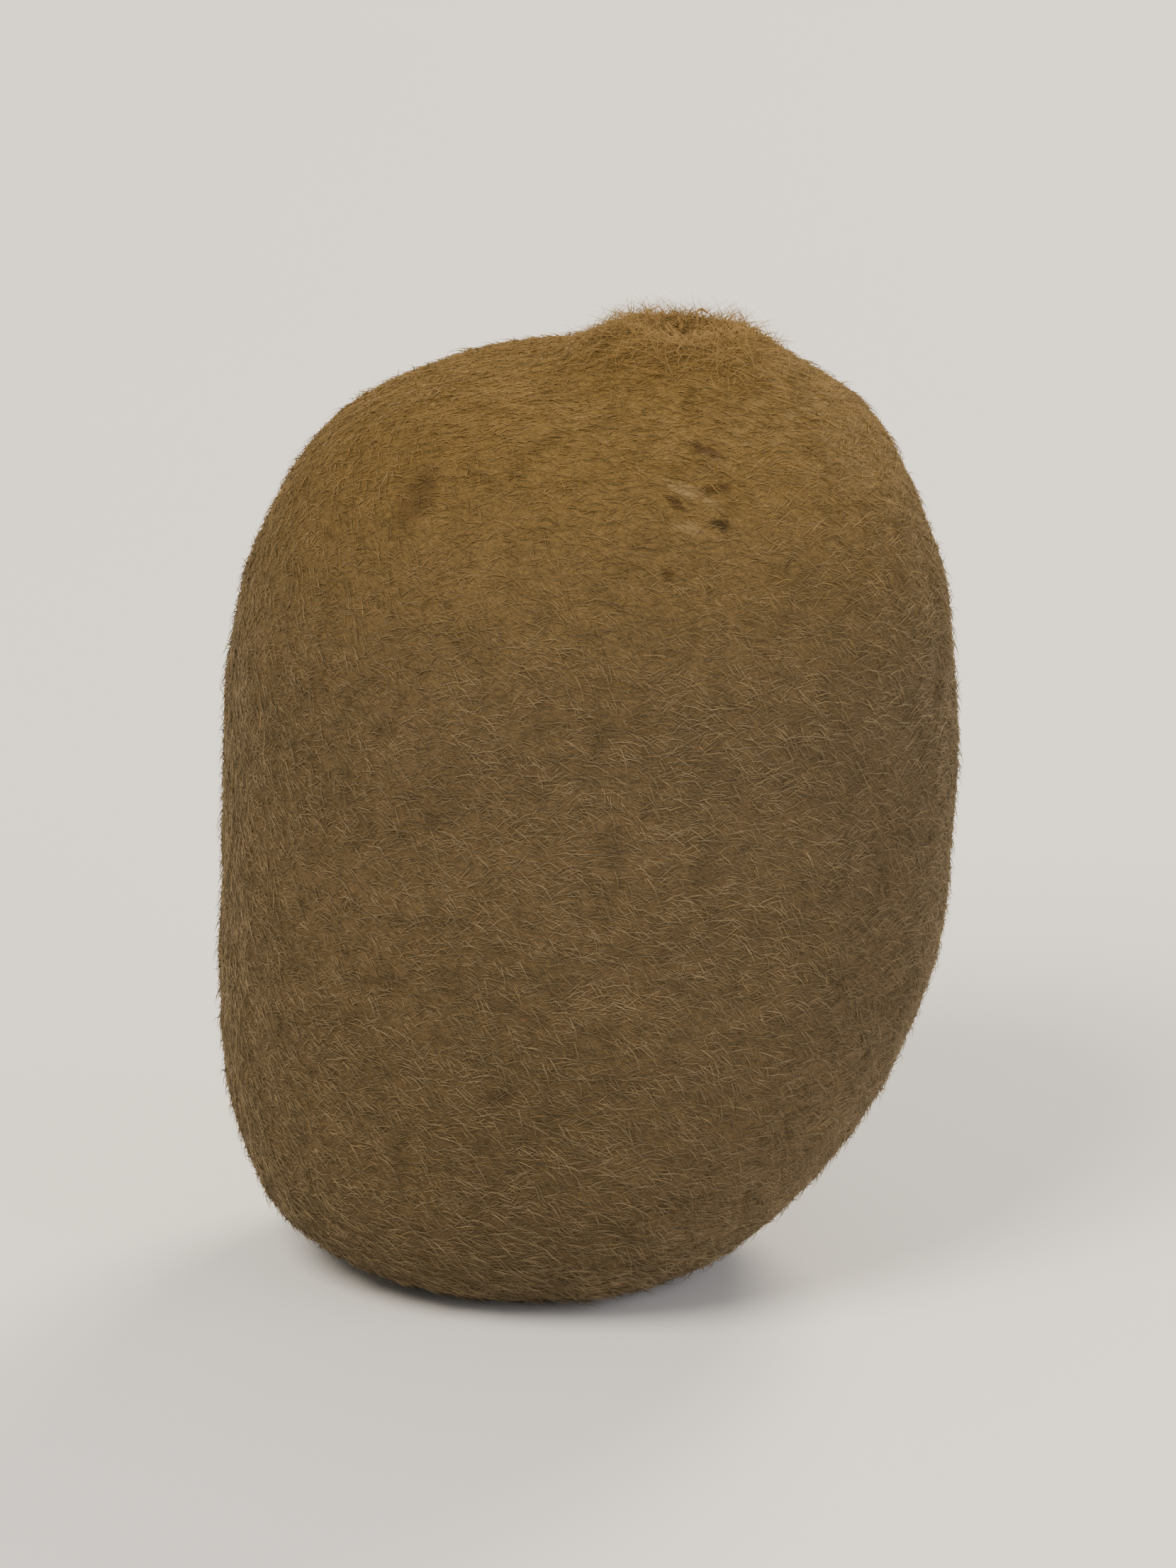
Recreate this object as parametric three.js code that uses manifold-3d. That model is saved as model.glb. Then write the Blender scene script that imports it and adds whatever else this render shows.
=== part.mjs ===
// A whole kiwi fruit of the common green kind, standing on its stalk end.
// Millimetres, +Z up, +X to the right and +Y away from the front.
//
// The fruit grew as one body, so it is one solid: blunt ovoid flesh in its skin, a low nub
// with a dimple and a brush of dried styles at the blossom end, and at the stalk end a
// flat-lipped hollow with the round scar where the stalk broke off.
import * as THREE from 'three';
import { mergeVertices } from 'three/addons/utils/BufferGeometryUtils.js';
import Module from 'manifold-3d';

const wasm = await Module();
wasm.setup();

// The body, measured along and across its own axis.
const WIDTH = 50.0;
const DEPTH = 47.1;
const UPPER_LENGTH = 29.1;    // widest section to the blossom end
const LOWER_LENGTH = 36.4;    // widest section to the stalk end
const SIDE_FLATNESS = 2.45;   // exponents of the superellipse outline; 2 and 2 are an ellipse
const UPPER_BLUNTNESS = 3.4;
const LOWER_BLUNTNESS = 3.1;

// How it grew out of true: its axis leans, and its centre line bows and sways to the sides.
const LEAN = THREE.MathUtils.degToRad(2);
const SWAY_SPAN = 35;         // distance from the widest section where these two are measured
const CENTRE_BOW = -2.3;
const CENTRE_SWAY = 4.2;
const LOBES = [
  { waves: 2, height: 0.22, turn: 0.9, twist: 0.6 },
  { waves: 3, height: 0.24, turn: 2.1, twist: -0.8 },
  { waves: 5, height: 0.08, turn: 0.4, twist: 1.1 },
];

// Blossom end: a low nub around a dimple.
const NUB_SHIFT = 4.5;        // sideways from the axis, towards +X
const NUB_RADIUS = 7.7;
const NUB_HEIGHT = 2.8;
const DIMPLE_RADIUS = 2.1;
const DIMPLE_DEPTH = 1.9;

// Stalk end: a shallow hollow with the round stalk scar standing in it.
const STALK_SHIFT = 6.4;
const HOLLOW_RADIUS = 4.3;
const HOLLOW_DEPTH = 2.6;
const SCAR_RADIUS = 2.2;
const SCAR_HEIGHT = 1.1;
const SCAR_PIT_RADIUS = 0.9;
const SCAR_PIT_DEPTH = 0.5;
const SHIFT_REACH = 14;       // how far out the skin is drawn along by the two shifts

const FOOT_FLAT = 0.8;        // how much of the lowest skin is pressed flat

// Dried styles: a brush of stiff threads on the dimple's rim.
const STYLE_COUNT = 26;
const STYLE_SIDES = 5;
const STYLE_ROOT_RADIUS = 0.5;
const STYLE_TIP_RADIUS = 0.3;
const STYLE_LENGTH = [1.4, 2.3];
const STYLE_SPREAD = [20, 75];  // degrees away from the axis
const STYLE_RING = [1.5, 2.9];  // distance of the roots from the dimple's centre
const STYLE_SUNK = 0.9;
const STYLE_SEED = 41;

const ROWS = 60;              // an even number, so that one ring lies on the widest section
const COLUMNS = 64;
const END_CROWDING = 1.9;     // above 1 the rings crowd towards the two ends

const bump = (x) => Math.exp(-x * x);
const lerp = THREE.MathUtils.lerp;

// A repeatable random number from 0 to 1 at each call.
function makeRandom(seed) {
  let state = seed;
  return () => {
    state = (Math.imul(state, 1664525) + 1013904223) >>> 0;
    return state / 2 ** 32;
  };
}

// Height that the nub and its dimple add, at a radius from their centre.
function nubRise(radius) {
  return NUB_HEIGHT * bump((radius / NUB_RADIUS) ** 2) - DIMPLE_DEPTH * bump(radius / DIMPLE_RADIUS);
}

// Depth of the stalk's hollow, less the scar that stands in it, at a radius from their centre.
function hollowDrop(radius) {
  const hollow = HOLLOW_DEPTH * bump((radius / HOLLOW_RADIUS) ** 2);
  const scar = SCAR_HEIGHT * bump((radius / SCAR_RADIUS) ** 3);
  return hollow - scar + SCAR_PIT_DEPTH * bump(radius / SCAR_PIT_RADIUS);
}

// The point of the skin at angle fall from the blossom end (0) to the stalk end (pi), and at
// angle turn round the axis.
function skinPoint(fall, turn) {
  const upper = fall < Math.PI / 2;
  const reach = Math.sin(fall) ** (2 / (upper ? UPPER_BLUNTNESS : LOWER_BLUNTNESS));
  const rise = Math.sign(Math.cos(fall)) * Math.abs(Math.cos(fall)) ** (2 / SIDE_FLATNESS);
  const distance = reach * (WIDTH / 2);
  const along = rise * (upper ? UPPER_LENGTH : LOWER_LENGTH);
  const shift = upper ? NUB_SHIFT : STALK_SHIFT;
  const drawn = shift * bump(distance / SHIFT_REACH) * Math.cos(fall) ** 2;

  let lobe = 0;
  for (const { waves, height, turn: start, twist } of LOBES) {
    lobe += height * Math.cos(waves * turn + start + twist * rise) * Math.sin(fall);
  }
  const centre = CENTRE_BOW * (along / SWAY_SPAN) ** 2 + CENTRE_SWAY * (along / SWAY_SPAN) ** 3;
  const x = drawn + (distance + lobe) * Math.cos(turn);
  const y = (distance + lobe) * (DEPTH / WIDTH) * Math.sin(turn);
  const radius = Math.hypot(x - shift, y);
  const z = along + (upper ? nubRise(radius) : hollowDrop(radius));
  return new THREE.Vector3(centre + x, y, z).applyAxisAngle(new THREE.Vector3(0, 1, 0), LEAN);
}

// The fall angle of a ring, crowded towards both ends where the small forms are.
function ringFall(row) {
  const share = Math.min(row, ROWS - row) / (ROWS / 2);
  const fall = (Math.PI / 2) * share ** END_CROWDING;
  return row <= ROWS / 2 ? fall : Math.PI - fall;
}

// The closed skin: rings of points from the blossom end down, with a single point at each end.
function bodyGeometry() {
  const positions = [];
  const triangles = [];
  const corner = (row, column) => 1 + (row - 1) * COLUMNS + ((column + COLUMNS) % COLUMNS);
  const last = 1 + (ROWS - 1) * COLUMNS;

  positions.push(...skinPoint(0, 0));
  for (let row = 1; row < ROWS; row += 1) {
    for (let column = 0; column < COLUMNS; column += 1) {
      positions.push(...skinPoint(ringFall(row), (2 * Math.PI * column) / COLUMNS));
    }
  }
  positions.push(...skinPoint(Math.PI, 0));

  for (let column = 0; column < COLUMNS; column += 1) {
    triangles.push(0, corner(1, column), corner(1, column + 1));
    triangles.push(last, corner(ROWS - 1, column + 1), corner(ROWS - 1, column));
    for (let row = 1; row < ROWS - 1; row += 1) {
      const [a, b] = [corner(row, column), corner(row, column + 1)];
      const [c, d] = [corner(row + 1, column), corner(row + 1, column + 1)];
      triangles.push(a, c, b, b, c, d);
    }
  }
  const geometry = new THREE.BufferGeometry();
  geometry.setAttribute('position', new THREE.Float32BufferAttribute(positions, 3));
  geometry.setIndex(triangles);
  return geometry;
}

// One dried style: a thin straight spike whose root lies below the skin of the dimple's rim.
function styleGeometry(index, random) {
  const turn = (2 * Math.PI * (index + random())) / STYLE_COUNT;
  const ring = lerp(...STYLE_RING, random());
  const fall = Math.asin((ring / (WIDTH / 2)) ** (UPPER_BLUNTNESS / 2));
  const root = skinPoint(fall, turn);
  const spread = THREE.MathUtils.degToRad(lerp(...STYLE_SPREAD, random()));
  const length = lerp(...STYLE_LENGTH, random());

  const spike = new THREE.CylinderGeometry(
    STYLE_TIP_RADIUS, STYLE_ROOT_RADIUS, length + STYLE_SUNK, STYLE_SIDES);
  spike.translate(0, (length - STYLE_SUNK) / 2, 0);
  const direction = new THREE.Vector3(
    Math.sin(spread) * Math.cos(turn), Math.sin(spread) * Math.sin(turn), Math.cos(spread));
  spike.applyQuaternion(new THREE.Quaternion().setFromUnitVectors(
    new THREE.Vector3(0, 1, 0), direction.normalize()));
  spike.translate(root.x, root.y, root.z);
  return spike;
}

function toSolid(geometry) {
  const bare = geometry.clone();
  bare.deleteAttribute('normal');
  bare.deleteAttribute('uv');
  const merged = mergeVertices(bare, 1e-5);
  return new wasm.Manifold(new wasm.Mesh({
    numProp: 3,
    vertProperties: new Float32Array(merged.attributes.position.array),
    triVerts: new Uint32Array(merged.index.array),
  }));
}

function toGeometry(solid) {
  const mesh = solid.getMesh();
  const geometry = new THREE.BufferGeometry();
  geometry.setAttribute('position', new THREE.BufferAttribute(mesh.vertProperties, 3));
  geometry.setIndex(new THREE.BufferAttribute(mesh.triVerts, 1));
  geometry.computeVertexNormals();
  return geometry;
}

// The whole fruit: the body with its styles joined on and the lowest FOOT_FLAT of skin taken
// off by a level plane, which leaves a flat ring round the stalk's hollow. It stands on z = 0
// with the middle of its bounding box over the origin.
function fruitGeometry() {
  const body = bodyGeometry();
  body.computeBoundingBox();
  const { min, max } = body.boundingBox;
  const floor = min.z + FOOT_FLAT;
  const random = makeRandom(STYLE_SEED);
  let fruit = toSolid(body);
  for (let i = 0; i < STYLE_COUNT; i += 1) {
    fruit = fruit.add(toSolid(styleGeometry(i, random)));
  }
  const below = new THREE.BoxGeometry(WIDTH * 2, WIDTH * 2, WIDTH);
  below.translate(0, 0, floor - WIDTH / 2);
  return toGeometry(fruit.subtract(toSolid(below)))
    .translate(-(min.x + max.x) / 2, -(min.y + max.y) / 2, -floor);
}

const skin = new THREE.MeshStandardMaterial({ color: 0x77603c, roughness: 0.85, metalness: 0 });
const fruit = new THREE.Mesh(fruitGeometry(), skin);
fruit.name = 'kiwi_fruit';

const part = new THREE.Group();
part.add(fruit);

export default part;
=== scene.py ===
"""A whole brown kiwi fruit, standing on its stalk end, dressed with its fine coat of hair."""

import math
from functools import partial

import bpy
import numpy as np
from mathutils import Euler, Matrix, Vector, noise


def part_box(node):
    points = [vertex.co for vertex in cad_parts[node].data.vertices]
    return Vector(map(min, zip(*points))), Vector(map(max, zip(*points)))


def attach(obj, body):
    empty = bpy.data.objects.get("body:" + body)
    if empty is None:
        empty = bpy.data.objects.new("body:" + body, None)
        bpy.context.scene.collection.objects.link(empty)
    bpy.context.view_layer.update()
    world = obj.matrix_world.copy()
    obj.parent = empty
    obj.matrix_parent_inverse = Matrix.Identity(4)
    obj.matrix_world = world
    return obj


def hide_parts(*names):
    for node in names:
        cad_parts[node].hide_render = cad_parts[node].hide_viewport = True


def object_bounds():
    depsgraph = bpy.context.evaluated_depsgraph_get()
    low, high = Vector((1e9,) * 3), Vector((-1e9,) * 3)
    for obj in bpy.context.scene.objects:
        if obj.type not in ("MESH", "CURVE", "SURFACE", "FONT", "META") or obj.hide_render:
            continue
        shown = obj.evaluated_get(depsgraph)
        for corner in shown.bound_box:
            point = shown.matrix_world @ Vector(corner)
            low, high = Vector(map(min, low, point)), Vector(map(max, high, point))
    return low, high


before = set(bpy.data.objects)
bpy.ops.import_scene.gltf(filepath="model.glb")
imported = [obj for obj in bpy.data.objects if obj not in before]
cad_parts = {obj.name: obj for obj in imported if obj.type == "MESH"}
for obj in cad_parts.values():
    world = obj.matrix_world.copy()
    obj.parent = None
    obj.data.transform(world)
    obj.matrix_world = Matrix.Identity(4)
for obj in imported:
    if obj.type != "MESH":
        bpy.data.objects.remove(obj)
solid_low, solid_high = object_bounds()


# ---------------------------------------------------------------- floor, lights and camera
# A pale matt table with no edge in sight, three soft lamps as in a small studio, and a camera a
# little above the fruit, which looks slightly down on its crown.

FLOOR_WIDTH = 8.0  # in metres, as all sizes of this section but the lens
MOTTLES_PER_METRE = 9.0  # of the rolled paint
CAMERA_RISE = math.radians(18.5)
CAMERA_DISTANCE = 0.60
CAMERA_LENS = 200.0  # in mm, for a picture whose long side is 36 mm in the camera
CAMERA_NEAREST = 0.01
LAMPS = [  # name, place from the fruit's middle, width, power in watts, colour
    ("key_lamp", (-0.50, -0.65, 0.95), 0.60, 20.5, "#fff4e4"),
    ("fill_lamp", (0.95, -0.60, 0.45), 0.90, 8.5, "#f6f5ff"),
    ("back_lamp", (0.45, 0.75, 0.75), 0.50, 15.0, "#fff0d8"),
]
SKY_COLOUR = "#f2f1ee"
SKY_STRENGTH = 0.5


def linear(hex_colour):
    """A colour as Blender's nodes want it, from its usual hex value."""
    parts = [int(hex_colour[i : i + 2], 16) / 255 for i in (1, 3, 5)]
    return tuple(c / 12.92 if c <= 0.04045 else ((c + 0.055) / 1.055) ** 2.4 for c in parts) + (1.0,)


def add_node(tree, kind, *values, **settings):
    """Adds one node. Its sockets are filled or linked in order, or by their shown names in a dict."""
    node = tree.nodes.new(kind)
    for name, value in settings.items():
        setattr(node, name, value)
    sockets = node.inputs
    if values and isinstance(values[0], dict):
        sockets = [next(s for s in node.inputs if s.name == name and s.enabled) for name in values[0]]
        values = values[0].values()
    for socket, value in zip(sockets, values):
        if isinstance(value, bpy.types.Node):
            value = next(s for s in value.outputs if s.enabled)
        if isinstance(value, bpy.types.NodeSocket):
            tree.links.new(value, socket)
        else:
            socket.default_value = value
    return node


def new_material(name):
    """An empty material, and what adds nodes to it."""
    material = bpy.data.materials.new(name)
    material.use_nodes = True
    material.node_tree.nodes.clear()
    return material, partial(add_node, material.node_tree)


def mottled(add, crowding, dark, light, detail):
    """A colour that wanders from dark to light and back, and the noise that it follows."""
    place = add("ShaderNodeTexCoord").outputs["Object"]
    wander = add("ShaderNodeTexNoise", {"Vector": place, "Scale": crowding, "Detail": detail})
    ends = {"Factor": wander, "A": linear(dark), "B": linear(light)}
    return add("ShaderNodeMix", ends, data_type="RGBA"), wander


def surfaced(material, add, finish):
    """The material, with one surface of this finish."""
    add("ShaderNodeOutputMaterial", add("ShaderNodeBsdfPrincipled", finish))
    return material


def link_object(name, mesh):
    """Puts a mesh in the scene as an object at the origin."""
    made = bpy.data.objects.new(name, mesh)
    bpy.context.scene.collection.objects.link(made)
    return made


def painted_board():
    """Eggshell paint rolled on a smooth board: pale and matt, with wide and very faint mottling."""
    material, add = new_material("eggshell_painted_board")
    tint, _ = mottled(add, MOTTLES_PER_METRE, "#e4e2de", "#e9e7e3", detail=3.0)
    return surfaced(material, add, {"Base Color": tint, "Roughness": 0.62, "Specular IOR Level": 0.3})


edge = FLOOR_WIDTH / 2
corners = [(-edge, -edge, 0), (edge, -edge, 0), (edge, edge, 0), (-edge, edge, 0)]
floor_mesh = bpy.data.meshes.new("floor")
floor_mesh.from_pydata(corners, [], [(0, 1, 2, 3)])
floor = link_object("floor", floor_mesh)
floor.data.materials.append(painted_board())

middle = (solid_low + solid_high) / 2
for lamp_name, lamp_place, lamp_width, lamp_power, lamp_colour in LAMPS:
    lamp = bpy.data.lights.new(lamp_name, "AREA")
    lamp.shape = "DISK"
    lamp.size = lamp_width
    lamp.energy = lamp_power
    lamp.color = linear(lamp_colour)[:3]
    holder = bpy.data.objects.new(lamp_name, lamp)
    holder.location = middle + Vector(lamp_place)
    holder.rotation_euler = (middle - holder.location).to_track_quat("-Z", "Y").to_euler()
    bpy.context.scene.collection.objects.link(holder)

world = bpy.data.worlds.new("pale_room")
world.use_nodes = True
world.node_tree.nodes.clear()
sky = {"Color": linear(SKY_COLOUR), "Strength": SKY_STRENGTH}
room_light = add_node(world.node_tree, "ShaderNodeBackground", sky)
add_node(world.node_tree, "ShaderNodeOutputWorld", room_light)
bpy.context.scene.world = world

camera = bpy.data.objects.new("camera", bpy.data.cameras.new("camera"))
camera.data.lens = CAMERA_LENS
camera.data.clip_start = CAMERA_NEAREST
backwards = Vector((0, -math.cos(CAMERA_RISE), math.sin(CAMERA_RISE)))
camera.location = middle + backwards * CAMERA_DISTANCE
camera.rotation_euler = (-backwards).to_track_quat("-Z", "Y").to_euler()
bpy.context.scene.collection.objects.link(camera)
bpy.context.scene.camera = camera


# ---------------------------------------------------------------- fruit_skin
# The thin leathery peel over the whole fruit, with the low nub of the blossom end on top and the
# hollow with the stalk's scar underneath. A node tree draws it: a ball of rings, pulled into a
# blunt and slightly crooked ovoid, with small dents, and pressed flat where it stands.

MM = 0.001  # sizes below are in millimetres times this, which makes them metres
SKIN_SIZES = {
    "Width": 50.0 * MM,  # across the waist, left to right
    "Depth": 47.1 * MM,  # across the waist, front to back
    "Upper length": 29.1 * MM,  # from the waist to the blossom end
    "Lower length": 36.4 * MM,  # from the waist to the stalk end
    "Side flatness": 2.45,  # how straight the sides run: 2 is an ellipse, and more is straighter
    "Upper bluntness": 3.4,  # how flat each end is, in the same way
    "Lower bluntness": 3.1,
    "Lean": math.radians(2),  # the blossom end leans to the right
    "Sway span": 35 * MM,  # the distance from the waist where the next two are measured
    "Centre bow": -2.3 * MM,
    "Centre sway": 4.2 * MM,
    "Upper shift": 4.5 * MM,  # how far the nub, and then the stalk's hollow, lie to the right
    "Lower shift": 6.4 * MM,
    "Shift reach": 14 * MM,
    "Nub radius": 7.7 * MM,
    "Nub height": 2.8 * MM,
    "Dimple radius": 2.1 * MM,
    "Dimple height": -1.9 * MM,
    "Hollow radius": 4.3 * MM,
    "Hollow height": 2.6 * MM,
    "Scar radius": 2.2 * MM,
    "Scar height": -1.1 * MM,
    "Pit radius": 0.9 * MM,
    "Pit height": 0.5 * MM,
    "Dent size": 7.0 * MM,
    "Dent depth": 0.22 * MM,
    "Wrinkle size": 1.6 * MM,
    "Wrinkle depth": 0.07 * MM,
    "Foot flat": 0.8 * MM,  # height of the lowest skin, which is pressed flat where the fruit stands
    "Felt under foot": 0.15 * MM,  # room for the pressed felt between this flat skin and the table
}
LOBES = [  # waves round the fruit, height, where they start, how much they twist along it
    (2, 0.22 * MM, 0.9, 0.6),
    (3, 0.24 * MM, 2.1, -0.8),
    (5, 0.08 * MM, 0.4, 1.1),
]
END_FORMS = {  # what rises or sinks at each end, and how sharp its rim is
    "Upper": (("Nub", 4), ("Dimple", 2)),
    "Lower": (("Hollow", 4), ("Scar", 6), ("Pit", 2)),
}
RINGS = 236  # rings of skin from end to end
COLUMNS = 248  # points in a ring
END_CROWDING = 1.9  # draws the rings together towards the two ends
RELIEF_GAIN = 4.0  # noise keeps near its middle, so this much of it makes a dent of full depth
MARKS = {
    # place in mm, half length and half height in mm, how many degrees the right end dips, colour,
    # how strong that is, how much of the hair is left, and how much lighter this hair is
    "bruise": ((-11.4, -13.6, 59.0), (1.5, 1.9), 0, "#483519", 0.7, 0.85, -0.34),
    "upper_scratch": ((8.0, -13.1, 62.0), (1.0, 0.34), 16, "#3d2a0c", 0.95, 0.15, -2.0),
    "middle_scratch": ((8.3, -15.4, 60.1), (1.35, 0.27), -4, "#3d2a0c", 0.9, 0.3, -1.6),
    "lower_scratch": ((8.8, -17.2, 58.2), (0.75, 0.45), 12, "#2f220b", 0.95, 0.1, -2.4),
    "short_scratch": ((5.7, -16.7, 59.6), (0.8, 0.28), 38, "#3d2a0c", 0.9, 0.25, -1.8),
    "pock": ((5.3, -19.8, 55.5), (0.5, 0.4), 20, "#3d2a0c", 0.85, 0.25, -1.6),
    "upper_scuff": ((6.9, -16.3, 60.0), (2.0, 0.42), 26, "#96805a", 0.4, 0.9, 0.6),
    "lower_scuff": ((6.7, -18.0, 58.1), (1.1, 0.34), 8, "#96805a", 0.3, 0.9, 0.36),
    "low_spot": ((-6.4, -21.8, 19.3), (1.3, 0.7), 0, "#3a2b18", 0.5, 0.75, -0.35),
}
MARK_DEPTH = 4 * MM  # how far a mark's colour reaches into the fruit
MARK_EDGE = (1.25, 0.55)  # where it starts and where it is full, as shares of its half sizes
MARK_RAGGEDNESS = 0.8 * MM  # how far the marks' edges stray
PATCH_SIZE = 9 * MM  # the skin is drabber or lighter in patches of this size
PORE_SPACING = 0.7 * MM
DOWN_SIZE = 0.3 * MM  # wisps of the finest down, drawn coarser than the real ones so that they show
DOWN_FLATNESS = 2.2  # a wisp is this much longer than it is high
DOWN_SHADES = (0.62, 1.35)  # the darkest and the lightest wisps, as shares of the skin's colour
DOWN_RELIEF = 0.08 * MM
END_DARKENING = 3.2 * MM  # how far the skin is darkened round the middle of the dimple and of the hollow
CROWN_START = 42 * MM  # skin and hair turn from drab to golden from this height up
CROWN_FULL = 67 * MM  # and are golden all over from this height up


def node_tree(name, sizes, kinds):
    """A new geometry node tree, what adds nodes to it, and its inputs, which are numbers or kinds."""
    tree = bpy.data.node_groups.new(name, "GeometryNodeTree")
    tree.interface.new_socket("Geometry", in_out="INPUT", socket_type="NodeSocketGeometry")
    for size_name, kind in (dict.fromkeys(sizes, "Float") | kinds | {"Material": "Material"}).items():
        tree.interface.new_socket(size_name, in_out="INPUT", socket_type="NodeSocket" + kind)
    tree.interface.new_socket("Geometry", in_out="OUTPUT", socket_type="NodeSocketGeometry")
    return tree, partial(add_node, tree), tree.nodes.new("NodeGroupInput").outputs


def ended(tree, geometry, size):
    """The tree, which now gives this geometry its material and returns it."""
    cover = {"Geometry": geometry, "Material": size["Material"]}
    covered = add_node(tree, "GeometryNodeSetMaterial", cover)
    add_node(tree, "NodeGroupOutput", covered)
    return tree


def coordinates(add):
    """Where each point is, as three numbers by the names of their axes."""
    return add("ShaderNodeSeparateXYZ", add("GeometryNodeInputPosition")).outputs


def swelling(add, distance, radius, sharpness, height):
    """A smooth round rise or hollow: its height in the middle, and gone a little past its radius."""
    share = add("ShaderNodeMath", distance, radius, operation="DIVIDE")
    curve = add("ShaderNodeMath", share, float(sharpness), operation="POWER")
    sinking = add("ShaderNodeMath", curve, -1.0, operation="MULTIPLY")
    form = add("ShaderNodeMath", sinking, operation="EXPONENT")
    return add("ShaderNodeMath", form, height, operation="MULTIPLY")


def skin_form(add, size):
    """Where each point of a ball goes on the fruit, and how far it is from the middle of its end."""
    ball_x, ball_y, ball_z = coordinates(add)
    flat_point = add("ShaderNodeCombineXYZ", ball_x, ball_y)
    across = add("ShaderNodeVectorMath", flat_point, operation="LENGTH")
    above = add("ShaderNodeMath", ball_z, 0.0, operation="GREATER_THAN")
    halves = {}
    for name in ("length", "bluntness", "shift"):
        choice = {"Switch": above, "False": size["Lower " + name], "True": size["Upper " + name]}
        halves[name] = add("GeometryNodeSwitch", choice, input_type="FLOAT")

    # the ball's even rings are drawn together towards the two ends
    turn = add("ShaderNodeMath", ball_y, ball_x, operation="ARCTAN2")
    height = add("ShaderNodeMath", ball_z, operation="ABSOLUTE")
    even_fall = add("ShaderNodeMath", across, height, operation="ARCTAN2")
    even_share = add("ShaderNodeMath", even_fall, math.pi / 2, operation="DIVIDE")
    share = add("ShaderNodeMath", even_share, END_CROWDING, operation="POWER")
    fall = add("ShaderNodeMath", share, math.pi / 2, operation="MULTIPLY")
    outward = add("ShaderNodeMath", fall, operation="SINE")
    endward = add("ShaderNodeMath", fall, operation="COSINE")

    # a blunt outline: how far a ring is from the axis, and how far along it
    blunt_power = add("ShaderNodeMath", 2.0, halves["bluntness"], operation="DIVIDE")
    reach = add("ShaderNodeMath", outward, blunt_power, operation="POWER")
    half_width = add("ShaderNodeMath", size["Width"], 2.0, operation="DIVIDE")
    distance = add("ShaderNodeMath", reach, half_width, operation="MULTIPLY")
    flat_power = add("ShaderNodeMath", 2.0, size["Side flatness"], operation="DIVIDE")
    climb = add("ShaderNodeMath", endward, flat_power, operation="POWER")
    side = add("ShaderNodeMath", ball_z, operation="SIGN")
    rise = add("ShaderNodeMath", climb, side, operation="MULTIPLY")
    along = add("ShaderNodeMath", rise, halves["length"], operation="MULTIPLY")

    # low lobes round the fruit
    lobes = 0.0
    for waves, lobe_height, start, twist in LOBES:
        round_it = add("ShaderNodeMath", turn, waves, start, operation="MULTIPLY_ADD")
        twisted = add("ShaderNodeMath", rise, twist, round_it, operation="MULTIPLY_ADD")
        wave = add("ShaderNodeMath", twisted, operation="COSINE")
        lobes = add("ShaderNodeMath", wave, lobe_height, lobes, operation="MULTIPLY_ADD")
    radius = add("ShaderNodeMath", lobes, outward, distance, operation="MULTIPLY_ADD")

    # each end is drawn to one side, and the centre line bows and sways
    drawn = swelling(add, distance, size["Shift reach"], 2, halves["shift"])
    end_share = add("ShaderNodeMath", endward, 2.0, operation="POWER")
    end_shift = add("ShaderNodeMath", drawn, end_share, operation="MULTIPLY")
    span_share = add("ShaderNodeMath", along, size["Sway span"], operation="DIVIDE")
    bow, sway = size["Centre bow"], size["Centre sway"]
    swayed = add("ShaderNodeMath", span_share, sway, bow, operation="MULTIPLY_ADD")
    span_square = add("ShaderNodeMath", span_share, 2.0, operation="POWER")
    centre = add("ShaderNodeMath", swayed, span_square, operation="MULTIPLY")

    # the point on its ring, and its distance from the middle of the nub or the hollow
    right = add("ShaderNodeMath", turn, operation="COSINE")
    back = add("ShaderNodeMath", turn, operation="SINE")
    ring_x = add("ShaderNodeMath", radius, right, end_shift, operation="MULTIPLY_ADD")
    narrowness = add("ShaderNodeMath", size["Depth"], size["Width"], operation="DIVIDE")
    narrow_back = add("ShaderNodeMath", back, narrowness, operation="MULTIPLY")
    ring_y = add("ShaderNodeMath", radius, narrow_back, operation="MULTIPLY")
    aside = add("ShaderNodeMath", ring_x, halves["shift"], operation="SUBTRACT")
    from_middle = add("ShaderNodeCombineXYZ", aside, ring_y)
    from_end = add("ShaderNodeVectorMath", from_middle, operation="LENGTH")
    reliefs = {}
    for end, forms in END_FORMS.items():
        reliefs[end] = 0.0
        for form, sharpness in forms:
            width, height = size[form + " radius"], size[form + " height"]
            part = swelling(add, from_end, width, sharpness, height)
            reliefs[end] = add("ShaderNodeMath", reliefs[end], part, operation="ADD")
    choice = {"Switch": above, "False": reliefs["Lower"], "True": reliefs["Upper"]}
    relief = add("GeometryNodeSwitch", choice, input_type="FLOAT")
    x = add("ShaderNodeMath", ring_x, centre, operation="ADD")
    z = add("ShaderNodeMath", along, relief, operation="ADD")
    upright = add("ShaderNodeCombineXYZ", x, ring_y, z)
    leaning = {"Vector": upright, "Angle": size["Lean"]}
    return add("ShaderNodeVectorRotate", leaning, rotation_type="Y_AXIS"), from_end


def press_on_table(add, geometry, lowest):
    """Moves what lies lower than one height up to it, as the table's top does."""
    at = coordinates(add)
    pressed = add("ShaderNodeMath", at["Z"], lowest, operation="MAXIMUM")
    on_top = add("ShaderNodeCombineXYZ", at["X"], at["Y"], pressed)
    return add("GeometryNodeSetPosition", {"Geometry": geometry, "Position": on_top})


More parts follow.
